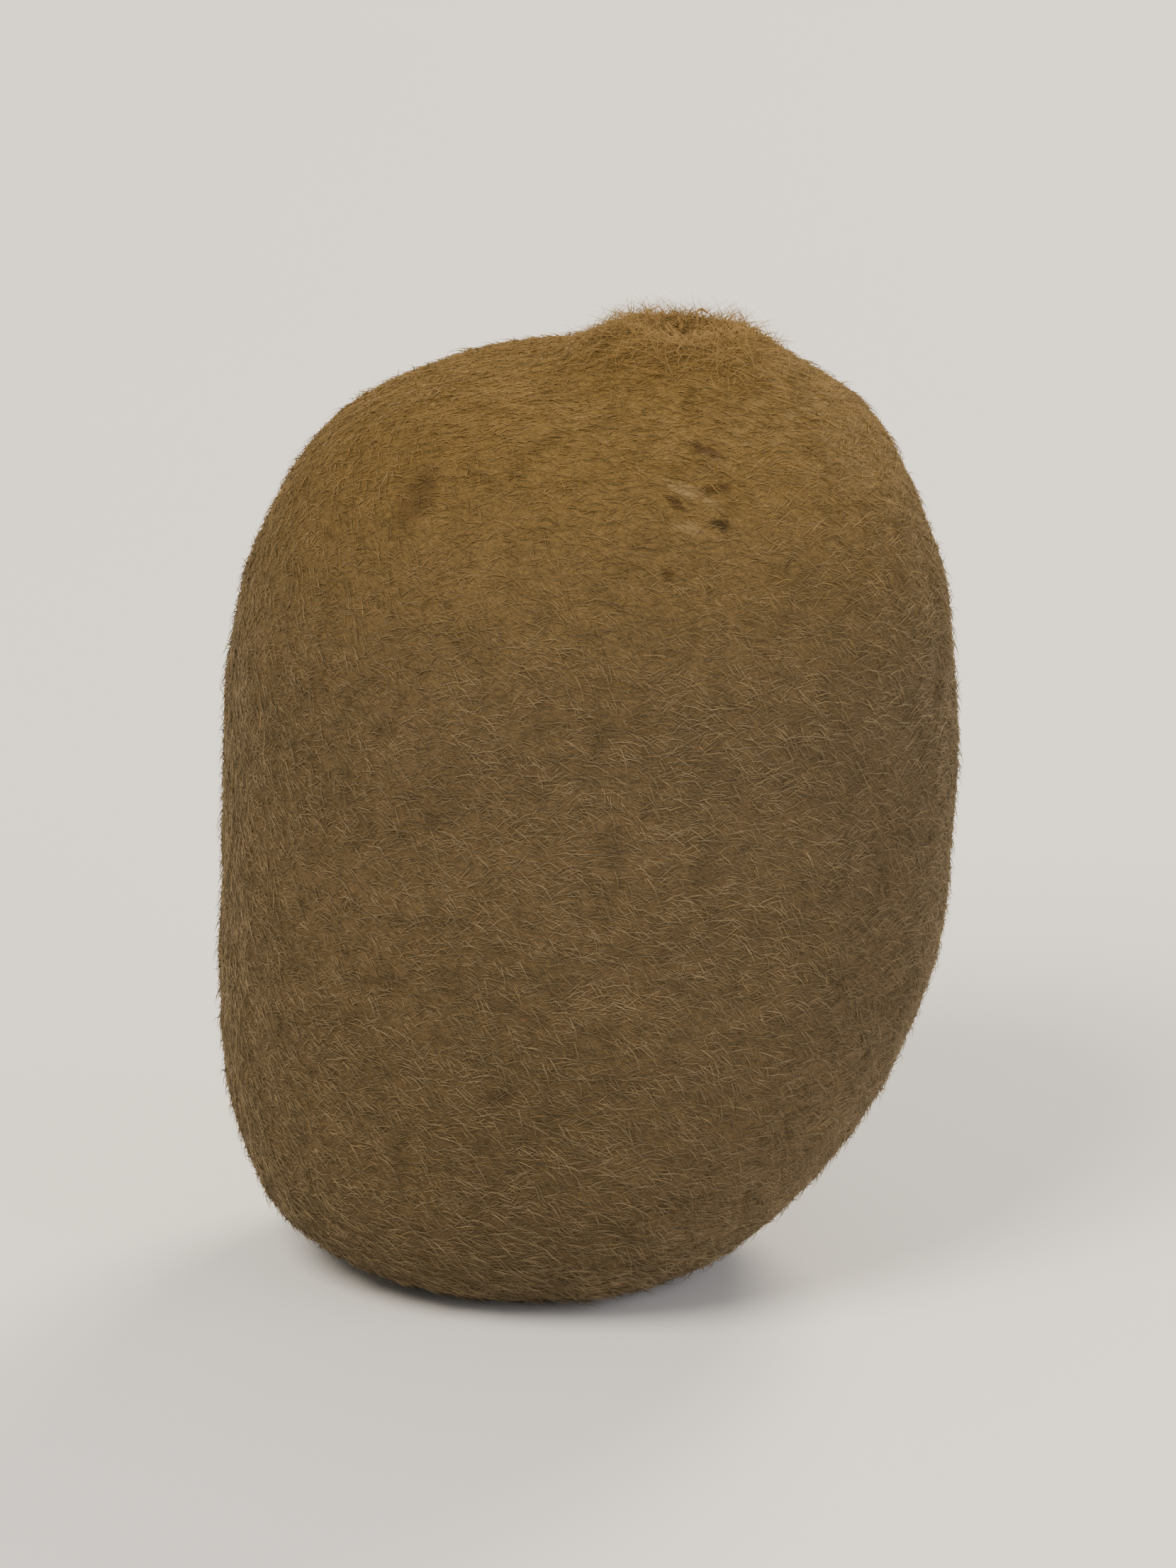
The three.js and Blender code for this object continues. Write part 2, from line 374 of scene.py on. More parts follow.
def stood_in_place(add, formed, size):
    """Brings the middle of the form's box over the foot's middle, its lowest skin a little under it."""
    box = add("GeometryNodeBoundBox", formed).outputs
    corners = add("ShaderNodeVectorMath", box["Min"], box["Max"], operation="ADD")
    centred = add("ShaderNodeVectorMath", {"Vector": corners, "Scale": 0.5}, operation="SCALE")
    box_middle = add("ShaderNodeSeparateXYZ", centred).outputs
    lowest = add("ShaderNodeSeparateXYZ", box["Min"]).outputs["Z"]
    foot = add("ShaderNodeMath", lowest, size["Foot flat"], operation="ADD")
    standing = add("ShaderNodeCombineXYZ", box_middle["X"], box_middle["Y"], foot)
    to_place = add("ShaderNodeVectorMath", size["Foot middle"], standing, operation="SUBTRACT")
    return add("GeometryNodeSetPosition", {"Geometry": formed, "Offset": to_place})


def dented(add, geometry, feature_size, depth):
    """Moves a surface in and out along its normal, in soft dents of one size."""
    normal = add("GeometryNodeInputNormal")
    place = add("GeometryNodeInputPosition")
    crowding = add("ShaderNodeMath", 1.0, feature_size, operation="DIVIDE")
    ripple = add("ShaderNodeTexNoise", {"Vector": place, "Scale": crowding, "Detail": 1.0})
    around = add("ShaderNodeMath", ripple, 0.5, operation="SUBTRACT")
    gained = add("ShaderNodeMath", around, RELIEF_GAIN, operation="MULTIPLY")
    height = add("ShaderNodeMath", gained, depth, operation="MULTIPLY")
    move = add("ShaderNodeVectorMath", {"Vector": normal, "Scale": height}, operation="SCALE")
    return add("GeometryNodeSetPosition", {"Geometry": geometry, "Offset": move})


def skin_tree():
    """The whole skin: a ball with its map, pulled into shape, stood in its place and dented."""
    tree, add, size = node_tree("fruit_skin", SKIN_SIZES, {"Foot middle": "Vector"})
    ball = add("GeometryNodeMeshUVSphere", {"Segments": COLUMNS, "Rings": RINGS, "Radius": 1.0}).outputs
    own_map = {"Geometry": ball["Mesh"], "Name": "OFBake", "Value": ball["UV Map"]}
    mapped = add("GeometryNodeStoreNamedAttribute", own_map, data_type="FLOAT2", domain="CORNER")
    form, from_end = skin_form(add, size)
    kept = {"Geometry": mapped, "Name": "from_end", "Value": from_end.outputs["Value"]}
    measured = add("GeometryNodeStoreNamedAttribute", kept, data_type="FLOAT")
    formed = add("GeometryNodeSetPosition", {"Geometry": measured, "Position": form})
    geometry = stood_in_place(add, formed, size)
    for feature in ("Dent", "Wrinkle"):
        geometry = dented(add, geometry, size[feature + " size"], size[feature + " depth"])
    table = add("ShaderNodeSeparateXYZ", size["Foot middle"]).outputs["Z"]
    felt_top = add("ShaderNodeMath", table, size["Felt under foot"], operation="ADD")
    geometry = press_on_table(add, geometry, felt_top)
    geometry = add("GeometryNodeSetShadeSmooth", geometry)
    geometry = add("GeometryNodeRealizeInstances", geometry)
    return ended(tree, geometry, size)


def grow(name, mesh, tree, values):
    """Runs a geometry node tree on a mesh and returns the result as a plain object."""
    made = link_object(name, mesh)
    modifier = made.modifiers.new(name, "NODES")
    modifier.node_group = tree
    for item in tree.interface.items_tree:
        if item.item_type == "SOCKET" and item.in_out == "INPUT" and item.name in values:
            modifier[item.identifier] = values[item.name]
    bpy.context.view_layer.update()
    evaluated = made.evaluated_get(bpy.context.evaluated_depsgraph_get())
    plain = bpy.data.meshes.new_from_object(evaluated)
    made.modifiers.remove(modifier)
    made.data = plain
    plain.name = name
    return made


def mark_frame(place, half_sizes, dip):
    """The middle, turn and radii of the egg that holds a mark's colour, longest round the fruit."""
    round_fruit = math.atan2(place[1], place[0]) + math.pi / 2
    half_length, half_height = half_sizes
    radii = Vector((half_length * MM, MARK_DEPTH, half_height * MM))
    return Vector(place) * MM, Euler((0, math.radians(dip), round_fruit)), radii


def peel_colour(add, place):
    """Drab olive brown in patches with fine dark pores, golden on the crown and dark at the ends."""
    ground, _ = mottled(add, 1 / PATCH_SIZE, "#51442d", "#67563b", detail=3.0)
    pores, _ = mottled(add, 1 / PORE_SPACING, "#7c6a4c", "#e0d2b4", detail=2.0)
    both = {"Factor": 0.5, "A": ground, "B": pores}
    speckled = add("ShaderNodeMix", both, data_type="RGBA", blend_type="MULTIPLY")
    height = add("ShaderNodeSeparateXYZ", place).outputs["Z"]
    climb = {"Value": height, "From Min": CROWN_START, "From Max": CROWN_FULL}
    crown = add("ShaderNodeMapRange", climb, interpolation_type="SMOOTHSTEP")
    golden = {"Factor": crown, "A": speckled, "B": linear("#655028")}
    warmer = add("ShaderNodeMix", golden, data_type="RGBA")
    from_end = add("ShaderNodeAttribute", attribute_name="from_end").outputs["Fac"]
    # the skin is darker round the middle of the dimple and of the hollow
    at_end = {"Value": from_end, "From Min": END_DARKENING, "From Max": END_DARKENING / 3}
    in_middle = add("ShaderNodeMapRange", at_end, interpolation_type="SMOOTHSTEP")
    stained = {"Factor": in_middle, "A": warmer, "B": linear("#38270f")}
    return add("ShaderNodeMix", stained, data_type="RGBA")


def with_marks(add, place, coloured):
    """Paints the fruit's bruise, scratches and scuffs over its colour, with ragged edges."""
    ragged = {"Vector": place, "Scale": 1 / MARK_RAGGEDNESS}
    stray = add("ShaderNodeTexNoise", ragged).outputs["Color"]
    reach = (MARK_RAGGEDNESS,) * 3
    marked_place = add("ShaderNodeVectorMath", stray, reach, place, operation="MULTIPLY_ADD")
    start, full = MARK_EDGE
    for *form, colour, strength, _, _ in MARKS.values():
        centre, facing, radii = mark_frame(*form)
        centre += Vector((MARK_RAGGEDNESS / 2,) * 3)  # the noise is a half on average
        egg = {"Vector": marked_place, "Location": centre, "Rotation": facing, "Scale": radii}
        inside = add("ShaderNodeMapping", egg, vector_type="TEXTURE")
        distance = add("ShaderNodeVectorMath", inside, operation="LENGTH")
        fade = {"Value": distance, "From Min": start, "From Max": full, "To Max": strength}
        share = add("ShaderNodeMapRange", fade, interpolation_type="SMOOTHSTEP")
        paint = {"Factor": share, "A": coloured, "B": linear(colour)}
        coloured = add("ShaderNodeMix", paint, data_type="RGBA")
    return coloured


def kiwi_peel():
    """Kiwi peel: dry, papery and matt, under a fine down that shows as soft level wisps."""
    material, add = new_material("kiwi_peel")
    place = add("ShaderNodeTexCoord").outputs["Object"]
    level = add("ShaderNodeVectorMath", place, (1.0, 1.0, DOWN_FLATNESS), operation="MULTIPLY")
    wisps = {"Vector": level, "Scale": 1 / DOWN_SIZE, "Detail": 2.0, "Distortion": 1.2}
    down = add("ShaderNodeTexNoise", wisps)
    darkest, lightest = DOWN_SHADES
    depth = {"Value": down, "From Min": 0.3, "From Max": 0.7, "To Min": darkest, "To Max": lightest}
    shade = add("ShaderNodeMapRange", depth)
    shaded = {"Factor": 1.0, "A": peel_colour(add, place), "B": shade}
    downy = add("ShaderNodeMix", shaded, data_type="RGBA", blend_type="MULTIPLY")
    relief = add("ShaderNodeBump", {"Height": down, "Strength": 0.7, "Distance": DOWN_RELIEF})
    finish = {"Base Color": with_marks(add, place, downy), "Normal": relief}
    return surfaced(material, add, finish | {"Roughness": 0.75, "Specular IOR Level": 0.15})


box_low, box_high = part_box("kiwi_fruit")
foot_middle = ((box_low.x + box_high.x) / 2, (box_low.y + box_high.y) / 2, box_low.z)
skin_values = SKIN_SIZES | {"Foot middle": foot_middle, "Material": kiwi_peel()}
fruit_skin = grow("fruit_skin", bpy.data.meshes.new("fruit_skin"), skin_tree(), skin_values)
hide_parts("kiwi_fruit")
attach(fruit_skin, "root")


# ---------------------------------------------------------------- where hair grows
# The felt covers the skin but for the dimple and the stalk's scar, and is rubbed thinner where the
# fruit stands. A longer tuft stands round the dimple. Point attributes of the skin say how dense
# each is, and where the marks stain the hair.

BARE_DIMPLE = 2.2 * MM  # radius of the dimple's thin patch
DIMPLE_BALDNESS = 0.85  # share of the felt that is gone in its middle
BARE_SCAR = 3.4 * MM  # radius of the bare skin at the stalk's scar
RUBBED_COAT = 0.7  # share of the felt that is left on the foot
TUFT_RING = 3.9 * MM  # radius round the dimple where the tuft is densest
TUFT_SPREAD = 2.2 * MM
STRAY_SEED = 37  # for the ragged edges of the marks in the hair


def bump(x):
    """A smooth swelling: 1 at the middle, and gone a little past 1."""
    return np.exp(-x * x)


def set_attribute(mesh, name, values, kind="FLOAT"):
    """Keeps one value or direction for each point of a mesh."""
    field = "value" if kind == "FLOAT" else "vector"
    attribute = mesh.attributes.new(name, kind, "POINT")
    attribute.data.foreach_set(field, np.asarray(values, np.float32).ravel())


skin_points = np.empty((len(fruit_skin.data.vertices), 3), np.float32)
fruit_skin.data.vertices.foreach_get("co", skin_points.ravel())
from_end = np.empty(len(skin_points), np.float32)
fruit_skin.data.attributes["from_end"].data.foreach_get("value", from_end)
is_upper = skin_points[:, 2] > SKIN_SIZES["Lower length"]
on_table = skin_points[:, 2] < 2 * SKIN_SIZES["Felt under foot"]
thin_dimple = np.where(is_upper, DIMPLE_BALDNESS * bump(from_end / BARE_DIMPLE), 0)
bare_scar = np.where(is_upper, 0, bump((from_end / BARE_SCAR) ** 3))
coat = np.where(on_table, RUBBED_COAT, 1) * (1 - thin_dimple) * (1 - bare_scar)
stain = np.zeros(len(skin_points))
noise.seed_set(STRAY_SEED)  # without it, each run would stray in its own way
strays = np.array([noise.noise_vector(point / MARK_RAGGEDNESS) for point in skin_points])
ragged_points = skin_points + strays * MARK_RAGGEDNESS / 2
for *form, _, _, hair_left, hair_tone in MARKS.values():
    centre, facing, radii = mark_frame(*form)
    inside = (ragged_points - np.array(centre)) @ np.array(facing.to_matrix()) / np.array(radii)
    in_mark = bump(np.linalg.norm(inside, axis=1) ** 2)
    coat *= 1 - (1 - hair_left) * in_mark
    stain += hair_tone * in_mark
tuft = np.where(is_upper, bump((from_end - TUFT_RING) / TUFT_SPREAD), 0)
set_attribute(fruit_skin.data, "coat", coat)
set_attribute(fruit_skin.data, "stain", stain)
set_attribute(fruit_skin.data, "tuft", tuft)


# ---------------------------------------------------------------- dried_styles
# The shrivelled threads of the flower, dry and brittle, which stay stuck round the dimple of the
# nub. Each is a thin, bent and tapering stem, rooted under the skin.

STYLE_SIZES = {
    "Shortest": 2.4 * MM,
    "Longest": 4.4 * MM,
    "Radius": 0.12 * MM,
    "Crook": 2.0 * MM,  # width of the space in which a tip's bends stay
    "Droop": 1.9 * MM,  # how far the tips have sunk
}
STYLES = 38
STYLE_RING = 2.2 * MM  # radius of the ring that they stand in
STYLE_RING_SPREAD = 0.7 * MM
STYLE_JITTER = 0.35  # how far one strays along the ring, as a share of the even spacing
STYLE_TAPER = (1.35, 0.45)  # how thick the root and the tip are, as shares of the radius
STYLE_LUMPS = (0.55, 1.45)  # how much thinner and thicker again it has shrivelled in places
STYLE_LUMP_SIZE = 0.56 * MM
STYLE_ROOT = 0.8 * MM  # how far a stem starts under the skin
STYLE_CROOK_SIZE = 1.4 * MM  # from one bend to the next
STYLE_SPLAY = (0.6, 2.4)  # how far they lean out from the dimple, as a slope
STYLE_JOINTS = 10
STYLE_SIDES = 6
STYLE_LENGTH_SEED = 31
STEM_SEED = 41  # for the places and the lean, here and of the stalk's fibres
LOOK_DISTANCE = 20 * MM  # how far off the skin a look at it starts
STREAK_SIZE = 0.5 * MM
STREAK_RELIEF = 0.06 * MM


def stems_on_points(add, size, stem, scale):
    """Copies one stem to each loose point, turned the way that the point keeps."""
    outwards = add("GeometryNodeInputNamedAttribute", "outwards", data_type="FLOAT_VECTOR")
    way = add("FunctionNodeAlignRotationToVector", {"Vector": outwards}, axis="Z")
    copies = {"Points": size["Geometry"], "Instance": stem, "Rotation": way, "Scale": scale}
    stems = add("GeometryNodeInstanceOnPoints", copies)
    return add("GeometryNodeRealizeInstances", stems)


def style_tree():
    """Bent threads that grow from loose points: lines that noise bends, and a tube on each."""
    tree, add, size = node_tree("dried_styles", STYLE_SIZES, {})
    line = add("GeometryNodeCurvePrimitiveLine", {"Start": (0.0, 0.0, 0.0), "End": (0.0, 0.0, 1.0)})
    thread = add("GeometryNodeResampleCurve", {"Curve": line, "Count": STYLE_JOINTS})
    own = {"Min": size["Shortest"], "Max": size["Longest"], "Seed": STYLE_LENGTH_SEED}
    length = add("FunctionNodeRandomValue", own, data_type="FLOAT")
    straight = stems_on_points(add, size, thread, length)

    # each is more bent and more sunk the further along it is
    along = add("GeometryNodeSplineParameter")
    place = add("GeometryNodeInputPosition")
    crooked = {"Vector": place, "Scale": 1 / STYLE_CROOK_SIZE, "Detail": 1.0}
    waver = add("ShaderNodeTexNoise", crooked).outputs["Color"]
    centred = add("ShaderNodeVectorMath", waver, (0.5, 0.5, 0.5), operation="SUBTRACT")
    reach = add("ShaderNodeMath", along, size["Crook"], operation="MULTIPLY")
    bend = add("ShaderNodeVectorMath", {"Vector": centred, "Scale": reach}, operation="SCALE")
    square = add("ShaderNodeMath", along, along, operation="MULTIPLY")
    sunk = add("ShaderNodeMath", square, size["Droop"], operation="MULTIPLY")
    droop = add("ShaderNodeVectorMath", {"Vector": (0.0, 0.0, -1.0), "Scale": sunk}, operation="SCALE")
    moved = add("ShaderNodeVectorMath", bend, droop, operation="ADD")
    bent = add("GeometryNodeSetPosition", {"Geometry": straight, "Offset": moved})

    # the tube on it is lumpy, and thinner towards the tip
    ring = {"Resolution": STYLE_SIDES, "Radius": size["Radius"]}
    round_thread = add("GeometryNodeCurvePrimitiveCircle", ring)
    at_root, at_tip = STYLE_TAPER
    taper = add("ShaderNodeMapRange", {"Value": along, "To Min": at_root, "To Max": at_tip})
    wrinkles = add("ShaderNodeTexNoise", {"Vector": place, "Scale": 1 / STYLE_LUMP_SIZE})
    thin, thick = STYLE_LUMPS
    lumps = add("ShaderNodeMapRange", {"Value": wrinkles, "To Min": thin, "To Max": thick})
    thickness = add("ShaderNodeMath", taper, lumps, operation="MULTIPLY")
    solid = {"Curve": bent, "Profile Curve": round_thread, "Scale": thickness, "Fill Caps": True}
    tube = add("GeometryNodeCurveToMesh", solid)
    smooth = add("GeometryNodeSetShadeSmooth", tube)
    return ended(tree, add("GeometryNodeRealizeInstances", smooth), size)


def dry_flower_thread():
    """Dead flower parts: dull and fibrous like dry straw, streaked from dark to golden brown."""
    material, add = new_material("dry_flower_thread")
    browns, streaks = mottled(add, 1 / STREAK_SIZE, "#5a3f1e", "#a9864f", detail=3.0)
    relief = add("ShaderNodeBump", {"Height": streaks, "Strength": 0.6, "Distance": STREAK_RELIEF})
    finish = {"Base Color": browns, "Normal": relief, "Roughness": 0.8, "Specular IOR Level": 0.25}
    return surfaced(material, add, finish)


def skin_near(middle, reach, turn, way):
    """Points of the skin round the middle of one end, found by looking at it along one way."""
    places = []
    for distance, angle in zip(reach, turn):
        aside = Vector((distance * math.cos(angle), distance * math.sin(angle), 0))
        start = Vector(middle) + aside - way * LOOK_DISTANCE
        places.append(fruit_skin.ray_cast(start, way)[1])
    return np.array(places)


def rooted(name, places, ways):
    """A mesh of loose points that keeps which way each one's stem leans."""
    mesh = bpy.data.meshes.new(name)
    mesh.from_pydata(places, [], [])
    set_attribute(mesh, "outwards", ways, "FLOAT_VECTOR")
    return mesh


random = np.random.default_rng(STEM_SEED)
strayed = np.arange(STYLES) + random.uniform(-STYLE_JITTER, STYLE_JITTER, STYLES)
style_turn = strayed * 2 * np.pi / STYLES
style_reach = STYLE_RING + random.uniform(-1, 1, STYLES) * STYLE_RING_SPREAD
splay = random.uniform(*STYLE_SPLAY, STYLES)
outwards = [splay * np.cos(style_turn), splay * np.sin(style_turn), np.ones(STYLES)]
style_ways = np.stack(outwards, axis=-1)
style_ways /= np.linalg.norm(style_ways, axis=-1, keepdims=True)
nub_middle = skin_points[np.argmin(np.where(is_upper, from_end, np.inf))]
style_roots = skin_near(nub_middle, style_reach, style_turn, Vector((0, 0, -1)))
style_roots -= style_ways * STYLE_ROOT
style_points = rooted("dried_styles", style_roots, style_ways)
style_values = STYLE_SIZES | {"Material": dry_flower_thread()}
dried_styles = grow("dried_styles", style_points, style_tree(), style_values)
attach(dried_styles, "root")


# ---------------------------------------------------------------- stalk_scar
# Where the stalk broke off, in the hollow underneath: the rough end of a bundle of short dead wood
# fibres, which stick out of the low woody disc of the skin there.

FIBRE_SIZES = {"Shortest": 0.35 * MM, "Longest": 0.7 * MM, "Radius": 0.14 * MM}
FIBRE_RINGS = 7  # the first is one fibre, and each next one has about six more than the last
FIBRE_SPACING = 0.3 * MM  # of these rings, and of the dark gaps in the wood's colour
FIBRE_JITTER = 0.08 * MM
FIBRE_GIRTHS = (0.7, 1.3)  # how thick the thinnest and the thickest are, as shares of the radius
FIBRE_TIP = 0.75  # how thick a tip is, as a share of its root
FIBRE_ROOT = 0.3 * MM  # how far a fibre starts inside the skin
FIBRE_LEAN = 0.18  # as a slope
FIBRE_SIDES = 7
FIBRE_LENGTH_SEED = 51
FIBRE_GIRTH_SEED = 52


def fibre_tree():
    """Short blunt rods on loose points, each of its own length and thickness."""
    tree, add, size = node_tree("stalk_fibres", FIBRE_SIZES, {})
    blunt = {"Vertices": FIBRE_SIDES, "Radius Top": FIBRE_TIP, "Radius Bottom": 1.0, "Depth": 1.0}
    rod = add("GeometryNodeMeshCone", blunt)
    own = {"Min": size["Shortest"], "Max": size["Longest"], "Seed": FIBRE_LENGTH_SEED}
    length = add("FunctionNodeRandomValue", own, data_type="FLOAT")
    thinnest, thickest = FIBRE_GIRTHS
    own = {"Min": thinnest, "Max": thickest, "Seed": FIBRE_GIRTH_SEED}
    share = add("FunctionNodeRandomValue", own, data_type="FLOAT")
    girth = add("ShaderNodeMath", size["Radius"], share, operation="MULTIPLY")
    scale = add("ShaderNodeCombineXYZ", girth, girth, length)
    return ended(tree, stems_on_points(add, size, rod, scale), size)


def dead_stalk_wood():
    """Broken green stalk gone dry: grey tan, dull and fibrous, dark in between."""
    material, add = new_material("dead_stalk_wood")
    tans, _ = mottled(add, 1 / FIBRE_SPACING, "#4b3a26", "#a08a68", detail=2.0)
    return surfaced(material, add, {"Base Color": tans, "Roughness": 0.85, "Specular IOR Level": 0.2})


fibre_counts = [1 if ring == 0 else 6 * ring for ring in range(FIBRE_RINGS)]
rings = [np.full(count, ring * FIBRE_SPACING) for ring, count in enumerate(fibre_counts)]
fibre_reach = np.concatenate(rings)
fibre_reach += random.uniform(-FIBRE_JITTER, FIBRE_JITTER, len(fibre_reach))
turns = [(np.arange(count) + random.random()) * 2 * np.pi / count for count in fibre_counts]
fibre_turn = np.concatenate(turns)
fibre_lean = random.uniform(-FIBRE_LEAN, FIBRE_LEAN, (2, len(fibre_reach)))
fibre_ways = np.stack([*fibre_lean, np.full(len(fibre_reach), -1.0)], axis=-1)
stalk_middle = skin_points[np.argmin(np.where(is_upper, np.inf, from_end))]
fibre_roots = skin_near(stalk_middle, fibre_reach, fibre_turn, Vector((0, 0, 1)))
fibre_roots -= fibre_ways * FIBRE_ROOT
fibre_points = rooted("stalk_scar", fibre_roots, fibre_ways)
fibre_values = FIBRE_SIZES | {"Material": dead_stalk_wood()}
stalk_scar = grow("stalk_scar", fibre_points, fibre_tree(), fibre_values)
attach(stalk_scar, "root")


# ---------------------------------------------------------------- hair coat
# Short brown hairs grow out of the whole skin and lie over to one side: a dense felt, fewer longer
# and more bent ones over it, and the tuft, which stands up. Each is a closed slender cone, rooted a
# little under the skin.

FELT_HAIR = {
    "Hairs per area": 4.6 / MM**2,
    "Shortest": 0.6 * MM,
    "Longest": 1.2 * MM,
    "Thickness": 0.085 * MM,  # across the root of a hair of middle length
    "Least lift": math.radians(3),  # how steeply a hair leaves the skin
    "Most lift": math.radians(15),
    "Spread": math.radians(52),  # how far a hair turns away from its lock, at most
    "Bend": 0.08,  # how far the tip bends back to the skin, as a share of the length
    "Curl": 0.1,  # and how far to one side
    "Joints": 1,
    "Tone": 0.0,  # the darkest hair's tone: 0 is dark and 1 is light
    "Cover": "coat",  # the attribute of the skin that says where it grows
}
LONG_HAIR = FELT_HAIR | {
    "Hairs per area": 1.79 / MM**2,
    "Shortest": 1.0 * MM,
    "Longest": 1.9 * MM,
    "Thickness": 0.075 * MM,
    "Least lift": math.radians(5),
    "Most lift": math.radians(28),
    "Bend": 0.16,
    "Curl": 0.4,
    "Joints": 2,
    "Tone": 0.1,
}
CROWN_TUFT = {
    "Hairs per area": 16.5 / MM**2,
    "Shortest": 1.1 * MM,
    "Longest": 2.7 * MM,
    "Thickness": 0.055 * MM,
    "Least lift": math.radians(15),
    "Most lift": math.radians(64),
    "Spread": math.radians(180),
    "Bend": 0.35,
    "Curl": 0.4,
    "Joints": 3,
    "Tone": 0.9,
    "Cover": "tuft",
}
HAIR_COATS = {  # a kind that is too much for one piece is spread over two
    "felt_hair_1": FELT_HAIR,
    "felt_hair_2": FELT_HAIR,
    "long_hair_1": LONG_HAIR,
    "long_hair_2": LONG_HAIR,
    "crown_tuft": CROWN_TUFT,
}
ROOT_DEPTH = 0.12 * MM
TIP_CLEARANCE = 0.06 * MM  # the lowest hairs are turned up until they end about this high
LOWEST_HAIR = 0.01 * MM  # and what is still lower is pressed flat at this height
WHORL_AXIS = (0.0, 0.25, 0.97)  # the hair lies in rings round this line through the fruit
LOCK_SIZE = 4.0 * MM  # hairs this close together lie much the same way
LOCK_NOISE = (0.25, 0.75)  # nearly all of the noise that makes the locks is between these
LOCK_SWAY = math.radians(22)  # how far a lock turns away from lying level
LOCK_TONE = 0.5  # how much lighter a light lock is than a dark one, as a share of the hair's tones
MAT_SIZE = 2.0 * MM  # hairs this close together are matted and have a tone of their own
MAT_FLATNESS = 1.7  # a mat is this much longer than it is high
MAT_TONE = 2.2  # how strong the mats' tones are
OWN_TONE = 0.45  # how much one hair's tone differs from the next one's, at most
TONE_EDGE = 0.02  # share of the colour map kept free at the dark and at the light edge
SHADES = 4  # shades from drab to golden, each with its own band of the hairs' colour map
SHADE_JITTER = 0.6  # how far a hair's shade strays from its height's, in shades
BAND_EDGE = 0.06  # share of a band kept free at each edge
MAP_HALF_WIDTH = 0.003  # about half the width that a hair takes in the map
MAP_SKEW = 0.5  # lays a hair askew in the map, where none of its sides is edge-on
ROOT_PAINTED_SHADE = 0.85  # painted shade at the root: a root's colour, as a share of the hair's
ROOT_PAINTED_SHADE_END = 0.6  # how far along a hair this painted shade reaches
TURN_SEED, LIFT_SEED, LENGTH_SEED, TONE_SEED, SHADE_SEED = 4, 5, 6, 7, 8


def rooted_points(add, size):
    """Points over the skin, closer where the cover is dense, with the skin's normal at each."""
    cover = add("GeometryNodeInputNamedAttribute", size["Cover"], data_type="FLOAT")
    density = add("ShaderNodeMath", cover, size["Hairs per area"], operation="MULTIPLY")
    roots = {"Mesh": size["Geometry"], "Density": density, "Seed": size["Seed"]}
    return add("GeometryNodeDistributePointsOnFaces", roots)


def lie_of_hair(add, size, normal, length, lock):
    """Which way each hair points: nearly level, turned by its lock and by itself, and lifted."""
    level = add("ShaderNodeVectorMath", WHORL_AXIS, normal, operation="CROSS_PRODUCT")
    least, most = LOCK_NOISE
    sway = {"Value": lock, "From Min": least, "From Max": most}
    lock_turn = add("ShaderNodeMapRange", sway | {"To Min": -LOCK_SWAY, "To Max": LOCK_SWAY})
    other_side = add("ShaderNodeMath", size["Spread"], -1.0, operation="MULTIPLY")
    own = {"Min": other_side, "Max": size["Spread"], "Seed": TURN_SEED}
    own_turn = add("FunctionNodeRandomValue", own, data_type="FLOAT")
    turn = add("ShaderNodeMath", lock_turn, own_turn, operation="ADD")
    lying = add("ShaderNodeVectorRotate", {"Vector": level, "Axis": normal, "Angle": turn})
    along_skin = add("ShaderNodeVectorMath", lying, operation="NORMALIZE")
    own = {"Min": size["Least lift"], "Max": size["Most lift"], "Seed": LIFT_SEED}
    lift = add("FunctionNodeRandomValue", own, data_type="FLOAT")
    slope = add("ShaderNodeMath", lift, operation="TANGENT")
    off_skin = add("ShaderNodeVectorMath", {"Vector": normal, "Scale": slope}, operation="SCALE")
    leaning = add("ShaderNodeVectorMath", along_skin, off_skin, operation="ADD")
    straight = add("ShaderNodeVectorMath", leaning, operation="NORMALIZE")

    # the lowest hairs are turned up until their tips clear the table
    way = add("ShaderNodeSeparateXYZ", straight).outputs
    drop = add("ShaderNodeMath", TIP_CLEARANCE, coordinates(add)["Z"], operation="SUBTRACT")
    lowest = add("ShaderNodeMath", drop, length, operation="DIVIDE")
    clear = add("ShaderNodeMath", way["Z"], lowest, operation="MAXIMUM")
    return add("ShaderNodeCombineXYZ", way["X"], way["Y"], clear)


